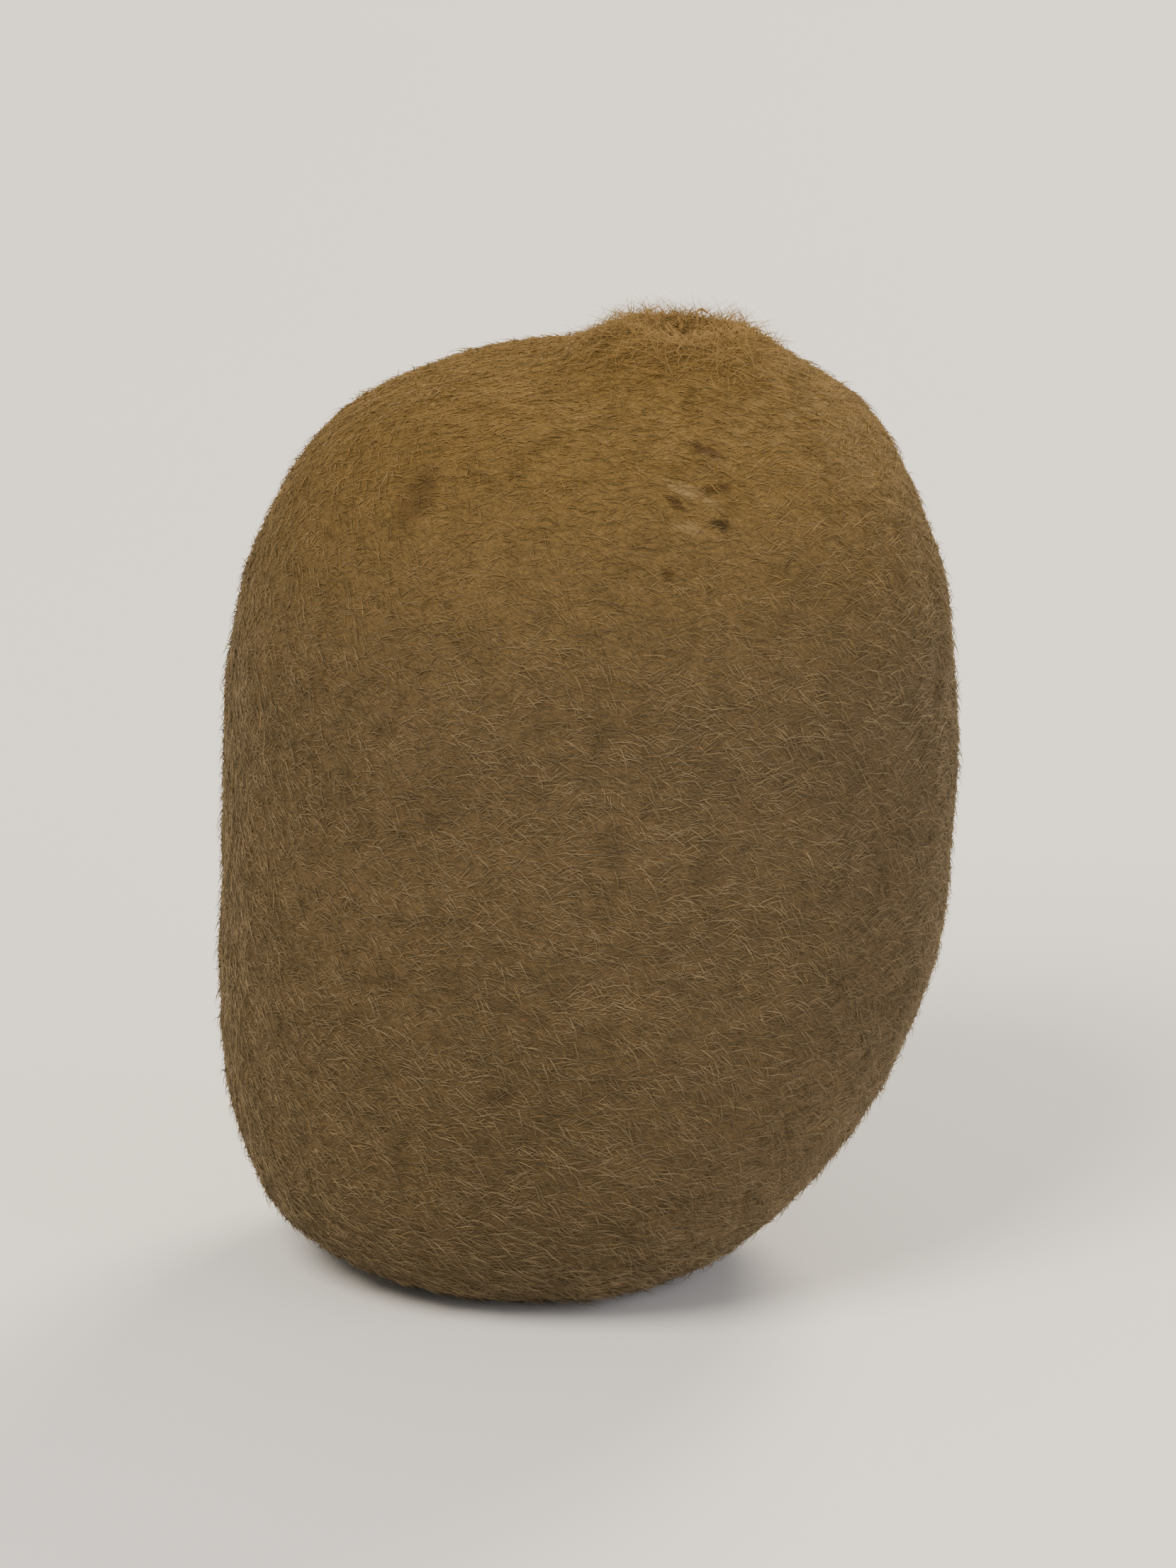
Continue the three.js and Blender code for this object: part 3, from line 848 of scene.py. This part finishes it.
def one_hair(add, size):
    """A hair one unit long on Z that bends away from its own X, with its place in its map band."""
    slender = {"Vertices": 3, "Side Segments": size["Joints"], "Radius Top": 0.0, "Depth": 1.0}
    cone = add("GeometryNodeMeshCone", slender | {"Radius Bottom": 1.0})
    across, aside, along = coordinates(add)
    skewed = add("ShaderNodeMath", aside, MAP_SKEW, across, operation="MULTIPLY_ADD")
    map_u = add("ShaderNodeMath", skewed, MAP_HALF_WIDTH, operation="MULTIPLY")
    climb = add("ShaderNodeMath", along, 1 - 2 * BAND_EDGE, BAND_EDGE, operation="MULTIPLY_ADD")
    map_v = add("ShaderNodeMath", aside, BAND_EDGE / 2, climb, operation="MULTIPLY_ADD")
    in_map = add("ShaderNodeCombineXYZ", map_u, map_v)
    kept = {"Geometry": cone, "Name": "place_in_band", "Value": in_map}
    mapped = add("GeometryNodeStoreNamedAttribute", kept, data_type="FLOAT_VECTOR")

    # its thickness is a share of the middle length, as each copy is scaled by its own length
    twice_length = add("ShaderNodeMath", size["Shortest"], size["Longest"], operation="ADD")
    radius = add("ShaderNodeMath", size["Thickness"], twice_length, operation="DIVIDE")
    curve = add("ShaderNodeMath", along, along, operation="MULTIPLY")
    fall = add("ShaderNodeMath", curve, size["Bend"], operation="MULTIPLY")
    thin_x = add("ShaderNodeMath", across, radius, operation="MULTIPLY")
    bent_x = add("ShaderNodeMath", thin_x, fall, operation="SUBTRACT")
    thin_y = add("ShaderNodeMath", aside, radius, operation="MULTIPLY")
    curled_y = add("ShaderNodeMath", curve, size["Curl"], thin_y, operation="MULTIPLY_ADD")
    bent = add("ShaderNodeCombineXYZ", bent_x, curled_y, along)
    return add("GeometryNodeSetPosition", {"Geometry": mapped, "Position": bent})


def shade_of_hair(add, size, lock):
    """Each hair's tone, from dark to light, and its shade, which turns golden up the crown."""
    place = add("GeometryNodeInputPosition")
    lightest = add("ShaderNodeMath", size["Tone"], OWN_TONE, operation="ADD")
    own = {"Min": size["Tone"], "Max": lightest, "Seed": TONE_SEED}
    own_tone = add("FunctionNodeRandomValue", own, data_type="FLOAT")
    lock_tone = add("ShaderNodeMath", lock, LOCK_TONE, own_tone, operation="MULTIPLY_ADD")
    level = add("ShaderNodeVectorMath", place, (1.0, 1.0, MAT_FLATNESS), operation="MULTIPLY")
    mat = add("ShaderNodeTexNoise", {"Vector": level, "Scale": 1 / MAT_SIZE, "Detail": 2.0})
    around = add("ShaderNodeMath", mat, 0.5, operation="SUBTRACT")
    mat_tone = add("ShaderNodeMath", around, MAT_TONE, lock_tone, operation="MULTIPLY_ADD")
    stain = add("GeometryNodeInputNamedAttribute", "stain", data_type="FLOAT")
    stained = add("ShaderNodeMath", mat_tone, stain, operation="ADD")
    tone = add("ShaderNodeClamp", stained, TONE_EDGE, 1 - TONE_EDGE)

    climb = {"Value": coordinates(add)["Z"], "From Min": CROWN_START, "From Max": CROWN_FULL}
    climb["To Max"] = SHADES - 1.0
    golden = add("ShaderNodeMapRange", climb, interpolation_type="SMOOTHSTEP")
    own = {"Min": -SHADE_JITTER, "Max": SHADE_JITTER, "Seed": SHADE_SEED}
    jitter = add("FunctionNodeRandomValue", own, data_type="FLOAT")
    mixed = add("ShaderNodeMath", golden, jitter, operation="ADD")
    nearest = add("ShaderNodeMath", mixed, operation="ROUND")
    shade = add("ShaderNodeClamp", nearest, 0.0, SHADES - 1.0)
    return add("ShaderNodeCombineXYZ", tone, shade)


def place_in_map(add, hairs):
    """Stores where each corner is in the colour map: its place in its band, moved to tone and shade."""
    in_band = add("GeometryNodeInputNamedAttribute", "place_in_band", data_type="FLOAT_VECTOR")
    shade = add("GeometryNodeInputNamedAttribute", "shade", data_type="FLOAT_VECTOR")
    in_shade = add("ShaderNodeVectorMath", in_band, shade, operation="ADD")
    in_map = add("ShaderNodeVectorMath", in_shade, (1.0, 1 / SHADES, 0.0), operation="MULTIPLY")
    kept = {"Geometry": hairs, "Name": "OFBake", "Value": in_map}
    return add("GeometryNodeStoreNamedAttribute", kept, data_type="FLOAT2", domain="CORNER")


def hair_tree():
    """Hair over a skin: roots, lie, one hair copied to each root, and its place in the colour map."""
    kinds = {"Joints": "Int", "Cover": "String", "Seed": "Int"}
    tree, add, size = node_tree("hair_coat", FELT_HAIR, kinds)
    roots = rooted_points(add, size)
    normal = roots.outputs["Normal"]
    own = {"Min": size["Shortest"], "Max": size["Longest"], "Seed": LENGTH_SEED}
    length = add("FunctionNodeRandomValue", own, data_type="FLOAT")
    place = add("GeometryNodeInputPosition")
    lock = add("ShaderNodeTexNoise", {"Vector": place, "Scale": 1 / LOCK_SIZE, "Detail": 1.0})
    way = lie_of_hair(add, size, normal, length, lock)
    pointing = add("FunctionNodeAlignRotationToVector", {"Vector": way}, axis="Z")
    facing = {"Rotation": pointing, "Vector": normal}
    turned = add("FunctionNodeAlignRotationToVector", facing, axis="X", pivot_axis="Z")
    copies = {"Points": roots, "Instance": one_hair(add, size), "Rotation": turned, "Scale": length}
    hairs = add("GeometryNodeInstanceOnPoints", copies)
    deeper = {"Instances": hairs, "Translation": (0.0, 0.0, -ROOT_DEPTH)}
    sunk = add("GeometryNodeTranslateInstances", deeper)
    kept = {"Geometry": sunk, "Name": "shade", "Value": shade_of_hair(add, size, lock)}
    shaded = add("GeometryNodeStoreNamedAttribute", kept, data_type="FLOAT_VECTOR", domain="INSTANCE")
    real = add("GeometryNodeRealizeInstances", shaded)
    geometry = press_on_table(add, place_in_map(add, real), LOWEST_HAIR)
    for used in ("place_in_band", "shade", "coat", "tuft", "stain", "from_end"):
        geometry = add("GeometryNodeRemoveAttribute", geometry, used)
    geometry = add("GeometryNodeSetShadeSmooth", geometry)
    return ended(tree, geometry, size)


def kiwi_hair():
    """Kiwi hair: dry dead plant hair, matt with a soft sheen, drab to golden, with painted shade at the
    root.
    """
    material, add = new_material("kiwi_hair")
    own_map = add("ShaderNodeUVMap", uv_map="OFBake")
    in_map = add("ShaderNodeSeparateXYZ", own_map).outputs
    bands = add("ShaderNodeMath", in_map["Y"], float(SHADES), operation="MULTIPLY")
    along = add("ShaderNodeMath", bands, operation="FRACT")
    band = add("ShaderNodeMath", bands, operation="FLOOR")
    golden = add("ShaderNodeMath", band, SHADES - 1.0, operation="DIVIDE")
    tones = []
    for dark, light in (("#564b34", "#867558"), ("#675126", "#907340")):
        ends = {"Factor": in_map["X"], "A": linear(dark), "B": linear(light)}
        tones.append(add("ShaderNodeMix", ends, data_type="RGBA"))
    coat = add("ShaderNodeMix", {"Factor": golden, "A": tones[0], "B": tones[1]}, data_type="RGBA")
    # painted shade: each hair is darkened towards its root
    fading = {"Value": along, "From Max": ROOT_PAINTED_SHADE_END, "To Min": ROOT_PAINTED_SHADE}
    painted_root_shade = add("ShaderNodeMapRange", fading)
    depth = {"Factor": 1.0, "A": coat, "B": painted_root_shade}
    coloured = add("ShaderNodeMix", depth, data_type="RGBA", blend_type="MULTIPLY")
    finish = {"Base Color": coloured, "Roughness": 0.7, "Specular IOR Level": 0.2}
    fuzz = {"Sheen Weight": 0.22, "Sheen Roughness": 0.45, "Sheen Tint": linear("#c8ab7c")}
    return surfaced(material, add, finish | fuzz)


hair_coat_tree = hair_tree()
hair_finish = kiwi_hair()
for seed, (coat_name, coat_sizes) in enumerate(HAIR_COATS.items()):
    coat_values = coat_sizes | {"Seed": seed, "Material": hair_finish}
    hair_coat = grow(coat_name, fruit_skin.data, hair_coat_tree, coat_values)
    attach(hair_coat, "root")
